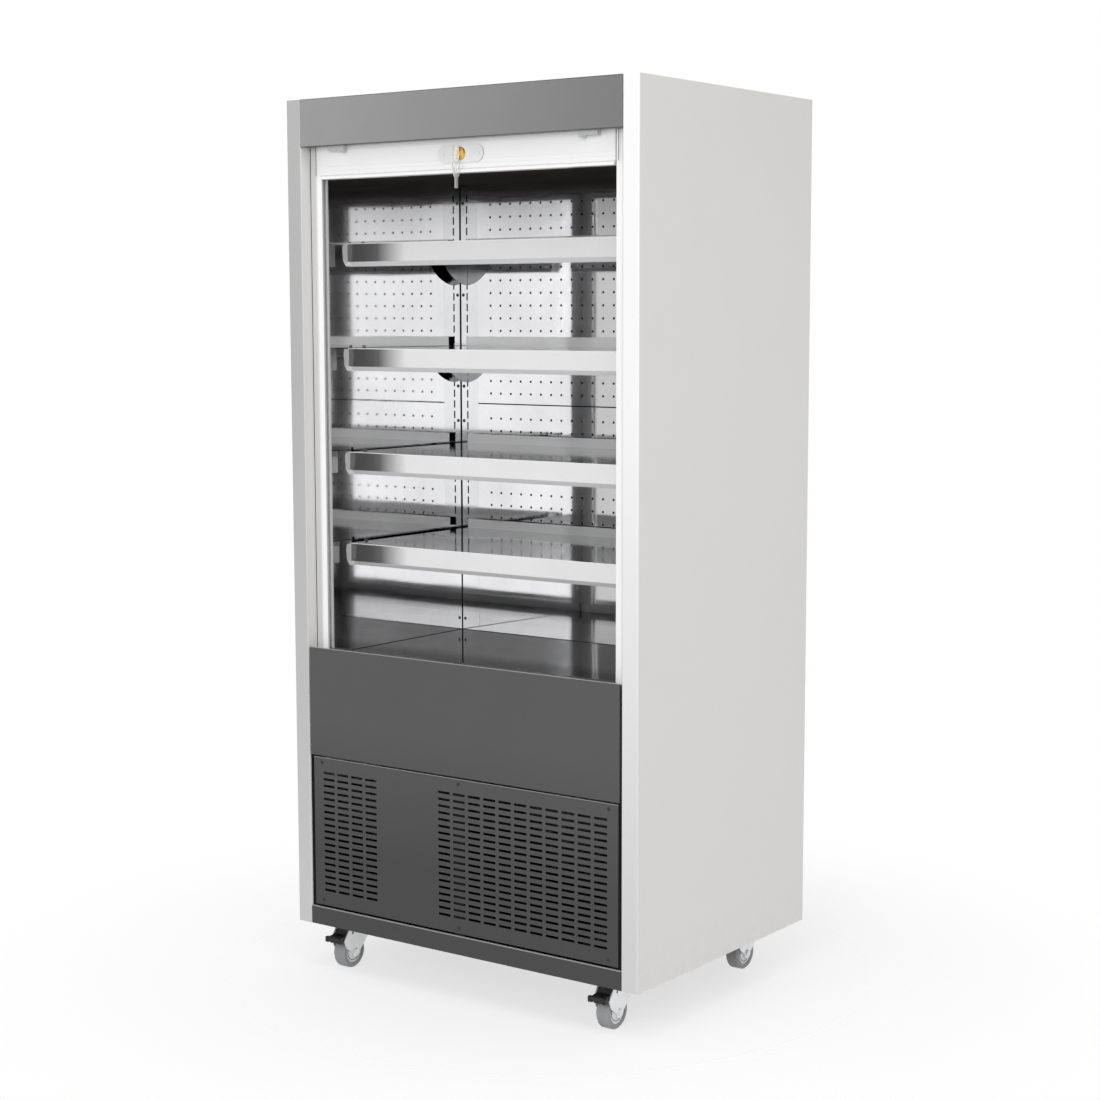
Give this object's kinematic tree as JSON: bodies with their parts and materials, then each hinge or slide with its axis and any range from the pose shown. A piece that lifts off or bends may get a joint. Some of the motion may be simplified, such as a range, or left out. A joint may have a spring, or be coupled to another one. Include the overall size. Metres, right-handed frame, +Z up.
{
  "type": "multideck display fridge",
  "caption": "Upright open-front refrigerated display cabinet with hung shelves, a slatted pull-down night shutter with a lock, a slotted lower grille and swivel casters.",
  "frame": {"origin": "on the floor, under the centre of the cabinet's bounding box", "axes": "+Z up, -Y towards the customer at the open front, +X to the right of a viewer who faces the open front"},
  "size_m": [0.94, 0.68, 1.96],
  "materials": {
    "cheek_paint": "satin powder coat, light grey",
    "fascia_paint": "satin powder coat, mid grey",
    "panel_paint": "satin powder coat, anthracite",
    "liner_steel": "bright annealed, almost mirror",
    "shelf_steel": "bright annealed",
    "zinc_steel": "zinc plated",
    "galvanised": "galvanised sheet",
    "anodised": "satin anodised",
    "coil": "mill finish fins",
    "compressor_paint": "gloss black enamel",
    "screw_steel": "bright zinc",
    "brass": "polished, a little worn",
    "key_nickel": "nickel plated",
    "black_plastic": "fine texture",
    "grey_plastic": "milky, slightly clear",
    "hub_plastic": "light grey moulding",
    "tyre_rubber": "grey rubber"
  },
  "bodies": {
    "cabinet": {"side_panel_left": "cheek_paint", "side_panel_right": "cheek_paint", "top_fascia": "fascia_paint", "lower_front_panel": "panel_paint", "grille_panel": "panel_paint", "plinth": "panel_paint", "base_frame": "panel_paint", "side_liners": "liner_steel", "liner_ceiling": "liner_steel", "deck_pan": "liner_steel", "rack_uprights": "liner_steel", "back_panel_lower": "liner_steel", "back_panels_air": "liner_steel", "shelf_1": "shelf_steel", "shelf_2": "shelf_steel", "shelf_3": "shelf_steel", "shelf_4": "shelf_steel", "shelf_fronts": "shelf_steel", "shelf_brackets": "zinc_steel", "caster_plates": "zinc_steel", "roof_panel": "galvanised", "rear_panel": "galvanised", "rear_grille": "galvanised", "evaporator_tub": "galvanised", "evaporator_fan_plate": "galvanised", "condenser_shroud": "galvanised", "shutter_cradles": "galvanised", "shutter_guides": "anodised", "condenser": "coil", "evaporator": "coil", "compressor": "compressor_paint", "grille_screws": "screw_steel", "liner_screws": "screw_steel", "shutter_stops": "grey_plastic"},
    "shutter": {"shutter_rail": "anodised", "lock_plate": "screw_steel", "shutter_curtain": "anodised"},
    "shutter_roll_body": {"shutter_roll": "anodised"},
    "lock": {"lock_plug": "brass", "key": "key_nickel"},
    "key_ring_body": {"key_ring": "key_nickel"},
    "bolt_left": {"lock_bolt_left": "anodised"},
    "bolt_right": {"lock_bolt_right": "anodised"},
    "condenser_fan_body": {"condenser_fan": "black_plastic"},
    "evaporator_fan_left_body": {"evaporator_fan_left": "black_plastic"},
    "evaporator_fan_right_body": {"evaporator_fan_right": "black_plastic"},
    "swivel_front_left": {"fork_front_left": "zinc_steel"},
    "wheel_front_left": {"tyre_front_left": "tyre_rubber", "hub_front_left": "hub_plastic"},
    "pedal_front_left": {"brake_pedal_front_left": "black_plastic"},
    "swivel_front_right": {"fork_front_right": "zinc_steel"},
    "wheel_front_right": {"tyre_front_right": "tyre_rubber", "hub_front_right": "hub_plastic"},
    "pedal_front_right": {"brake_pedal_front_right": "black_plastic"},
    "swivel_rear_left": {"fork_rear_left": "zinc_steel"},
    "wheel_rear_left": {"tyre_rear_left": "tyre_rubber", "hub_rear_left": "hub_plastic"},
    "swivel_rear_right": {"fork_rear_right": "zinc_steel"},
    "wheel_rear_right": {"tyre_rear_right": "tyre_rubber", "hub_rear_right": "hub_plastic"}
  },
  "joints": [
    {"name": "shutter_slide", "type": "slide", "parent": "cabinet", "child": "shutter", "axis": [0, 0, -1], "range_m": [0, 1.046], "deforming": ["shutter_curtain"]},
    {"name": "roll_spin", "type": "hinge", "parent": "cabinet", "child": "shutter_roll_body", "pos_m": [0, -0.246, 1.902], "axis": [1, 0, 0], "range_deg": [0, 1109.2]},
    {"name": "lock_turn", "type": "hinge", "parent": "shutter", "child": "lock", "pos_m": [0, -0.312, 1.826], "axis": [0, 1, 0], "range_deg": [0, 90]},
    {"name": "key_ring_swing", "type": "hinge", "parent": "lock", "child": "key_ring_body", "pos_m": [0, -0.328, 1.8146], "axis": [1, 0, 0], "range_deg": [-70, 2]},
    {"name": "bolt_left_slide", "type": "slide", "parent": "shutter", "child": "bolt_left", "axis": [-1, 0, 0], "range_m": [0, 0.024]},
    {"name": "bolt_right_slide", "type": "slide", "parent": "shutter", "child": "bolt_right", "axis": [1, 0, 0], "range_m": [0, 0.024]},
    {"name": "condenser_fan_spin", "type": "hinge", "parent": "cabinet", "child": "condenser_fan_body", "pos_m": [-0.015, -0.2, 0.2325], "axis": [0, 1, 0], "continuous": true},
    {"name": "evaporator_fan_left_spin", "type": "hinge", "parent": "cabinet", "child": "evaporator_fan_left_body", "pos_m": [-0.172, -0.12, 0.5815], "axis": [0, 1, 0], "continuous": true},
    {"name": "evaporator_fan_right_spin", "type": "hinge", "parent": "cabinet", "child": "evaporator_fan_right_body", "pos_m": [0.172, -0.12, 0.5815], "axis": [0, 1, 0], "continuous": true},
    {"name": "swivel_front_left_turn", "type": "hinge", "parent": "cabinet", "child": "swivel_front_left", "pos_m": [-0.368, -0.258, 0.1], "axis": [0, 0, 1], "continuous": true},
    {"name": "wheel_front_left_spin", "type": "hinge", "parent": "swivel_front_left", "child": "wheel_front_left", "pos_m": [-0.368, -0.284, 0.0375], "axis": [1, 0, 0], "continuous": true},
    {"name": "pedal_front_left_press", "type": "hinge", "parent": "swivel_front_left", "child": "pedal_front_left", "pos_m": [-0.368, -0.294, 0.084], "axis": [1, 0, 0], "range_deg": [0, 15]},
    {"name": "swivel_front_right_turn", "type": "hinge", "parent": "cabinet", "child": "swivel_front_right", "pos_m": [0.368, -0.258, 0.1], "axis": [0, 0, 1], "continuous": true},
    {"name": "wheel_front_right_spin", "type": "hinge", "parent": "swivel_front_right", "child": "wheel_front_right", "pos_m": [0.368, -0.284, 0.0375], "axis": [1, 0, 0], "continuous": true},
    {"name": "pedal_front_right_press", "type": "hinge", "parent": "swivel_front_right", "child": "pedal_front_right", "pos_m": [0.368, -0.294, 0.084], "axis": [1, 0, 0], "range_deg": [0, 15]},
    {"name": "swivel_rear_left_turn", "type": "hinge", "parent": "cabinet", "child": "swivel_rear_left", "pos_m": [-0.368, 0.258, 0.1], "axis": [0, 0, 1], "continuous": true},
    {"name": "wheel_rear_left_spin", "type": "hinge", "parent": "swivel_rear_left", "child": "wheel_rear_left", "pos_m": [-0.368, 0.232, 0.0375], "axis": [1, 0, 0], "continuous": true},
    {"name": "swivel_rear_right_turn", "type": "hinge", "parent": "cabinet", "child": "swivel_rear_right", "pos_m": [0.368, 0.258, 0.1], "axis": [0, 0, 1], "continuous": true},
    {"name": "wheel_rear_right_spin", "type": "hinge", "parent": "swivel_rear_right", "child": "wheel_rear_right", "pos_m": [0.368, 0.232, 0.0375], "axis": [1, 0, 0], "continuous": true}
  ],
  "couplings": [
    {"joint": "roll_spin", "follows": "shutter_slide", "rad_per_m": 18.5},
    {"joint": "bolt_left_slide", "follows": "lock_turn", "m_per_rad": 0.015279},
    {"joint": "bolt_right_slide", "follows": "lock_turn", "m_per_rad": 0.015279}
  ]
}
